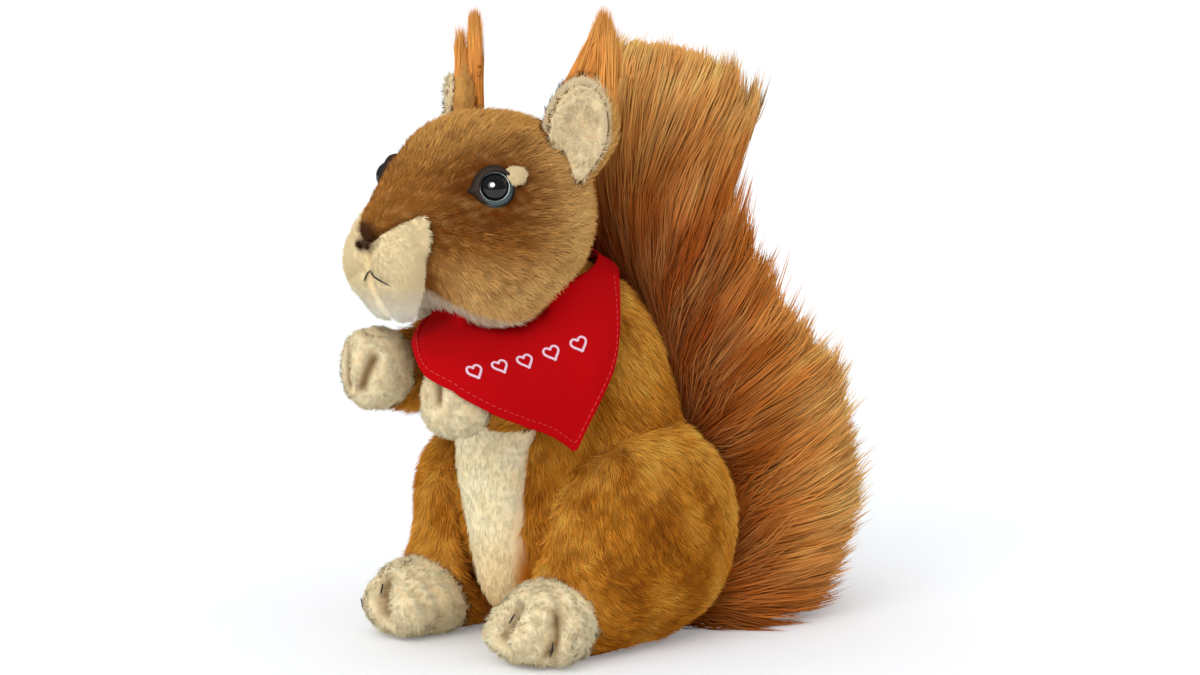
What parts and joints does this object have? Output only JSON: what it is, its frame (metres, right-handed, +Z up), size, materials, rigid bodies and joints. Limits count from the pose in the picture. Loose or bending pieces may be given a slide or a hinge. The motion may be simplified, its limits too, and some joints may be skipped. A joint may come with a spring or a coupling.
{
  "type": "plush squirrel",
  "caption": "Seated plush squirrel with a tall long-pile tail, tufted ears, cream muzzle and belly, glossy safety eyes and a triangular neckerchief.",
  "frame": {"origin": "on the floor, under the middle of the object's width and length", "axes": "+Z up; the squirrel faces -Y, with its own left side at +X"},
  "size_m": [0.1192, 0.2304, 0.2361],
  "materials": {
    "short_brown_plush": "short brushed pile, golden brown",
    "long_russet_plush": "long combed pile, russet with pale tips",
    "cream_plush": "short cream pile",
    "sand_fleece": "curly sand-coloured fleece",
    "black_glass": "gloss black",
    "grey_glass": "gloss smoke grey",
    "white_plastic": "natural white, moulded",
    "dark_felt": "dark brown pile",
    "red_cotton": "plain woven, matt red"
  },
  "bodies": {
    "root": {"head": "short_brown_plush", "torso": "short_brown_plush", "haunch_left": "short_brown_plush", "haunch_right": "short_brown_plush", "arm_left": "short_brown_plush", "arm_right": "short_brown_plush", "ear_left": "short_brown_plush", "ear_right": "short_brown_plush", "tail": "long_russet_plush", "ear_tuft_left": "long_russet_plush", "ear_tuft_right": "long_russet_plush", "muzzle_left": "cream_plush", "muzzle_right": "cream_plush", "belly_panel": "cream_plush", "eye_patch_left": "cream_plush", "eye_patch_right": "cream_plush", "hind_foot_left": "sand_fleece", "hind_foot_right": "sand_fleece", "forepaw_left": "sand_fleece", "forepaw_right": "sand_fleece", "ear_lining_left": "sand_fleece", "ear_lining_right": "sand_fleece", "eye_left": "black_glass", "eye_right": "black_glass", "iris_left": "grey_glass", "iris_right": "grey_glass", "eye_washer_left": "white_plastic", "eye_washer_right": "white_plastic", "eyelid_left": "dark_felt", "eyelid_right": "dark_felt", "neckerchief": "red_cotton"}
  },
  "joints": []
}
